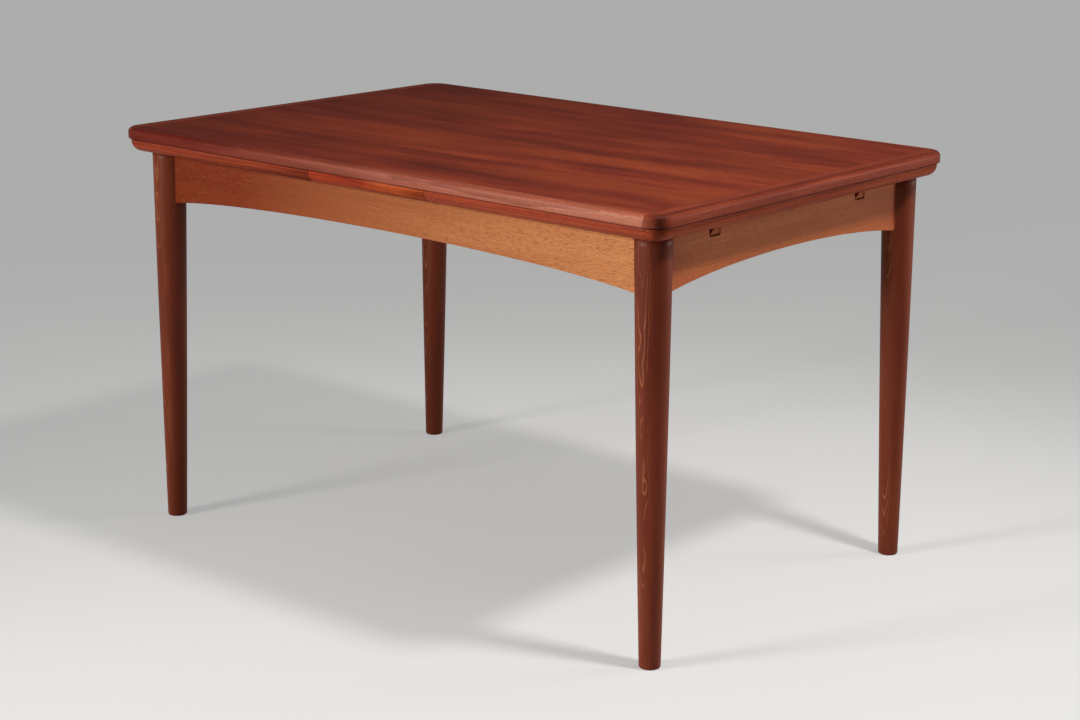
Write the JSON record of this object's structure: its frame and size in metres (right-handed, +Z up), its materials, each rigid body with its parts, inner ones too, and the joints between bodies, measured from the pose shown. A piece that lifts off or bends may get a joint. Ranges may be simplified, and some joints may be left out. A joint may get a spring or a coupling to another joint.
{
  "type": "draw leaf table",
  "caption": "Rectangular wooden dining table with round tapered legs, arched rails and a leaf under each end that draws out on runners beneath a loose top.",
  "frame": {"origin": "on the floor, under the middle of the table top", "axes": "+X along the length of the table towards the right leaf, +Y towards the back, +Z up"},
  "size_m": [1.222, 0.818, 0.735],
  "materials": {
    "teak_veneer": "oiled, satin",
    "teak_lipping": "oiled, satin",
    "rail_wood": "oiled, satin",
    "leg_wood": "stained and oiled, satin",
    "runner_beech": "waxed",
    "inner_beech": "planed, bare",
    "screw_steel": "dull zinc",
    "felt": "matt felt"
  },
  "bodies": {
    "frame": {"corner_block_back_left": "inner_beech", "corner_block_back_right": "inner_beech", "corner_block_front_left": "inner_beech", "corner_block_front_right": "inner_beech", "corner_block_screws": "screw_steel", "cross_bearer_left": "inner_beech", "cross_bearer_right": "inner_beech", "end_rail_left": "rail_wood", "end_rail_right": "rail_wood", "felt_pads": "felt", "leg_back_left": "leg_wood", "leg_back_right": "leg_wood", "leg_front_left": "leg_wood", "leg_front_right": "leg_wood", "middle_board_lipping_back": "teak_lipping", "middle_board_lipping_front": "teak_lipping", "middle_board_panel": "teak_veneer", "middle_board_screws": "screw_steel", "side_rail_back": "rail_wood", "side_rail_front": "rail_wood"},
    "leaf_left": {"leaf_left_back_lipping": "teak_lipping", "leaf_left_end_lipping": "teak_lipping", "leaf_left_front_lipping": "teak_lipping", "leaf_left_panel": "teak_veneer", "leaf_left_runner_back": "runner_beech", "leaf_left_runner_front": "runner_beech", "leaf_left_runner_screws": "screw_steel", "leaf_left_stop_pegs": "runner_beech"},
    "leaf_right": {"leaf_right_back_lipping": "teak_lipping", "leaf_right_end_lipping": "teak_lipping", "leaf_right_front_lipping": "teak_lipping", "leaf_right_panel": "teak_veneer", "leaf_right_runner_back": "runner_beech", "leaf_right_runner_front": "runner_beech", "leaf_right_runner_screws": "screw_steel", "leaf_right_stop_pegs": "runner_beech"},
    "top": {"top_end_lipping_left": "teak_lipping", "top_end_lipping_right": "teak_lipping", "top_guide_peg_back": "runner_beech", "top_guide_peg_front": "runner_beech", "top_panel": "teak_veneer", "top_side_lipping_back": "teak_lipping", "top_side_lipping_front": "teak_lipping"}
  },
  "joints": [
    {"name": "leaf_left_draw", "type": "slide", "parent": "frame", "child": "leaf_left", "axis": [-1, 0, 0], "range_m": [0, 0.41]},
    {"name": "leaf_right_draw", "type": "slide", "parent": "frame", "child": "leaf_right", "axis": [1, 0, 0], "range_m": [0, 0.41]},
    {"name": "top_lift", "type": "slide", "parent": "frame", "child": "top", "axis": [0, 0, 1], "range_m": [0, 0.025]}
  ]
}
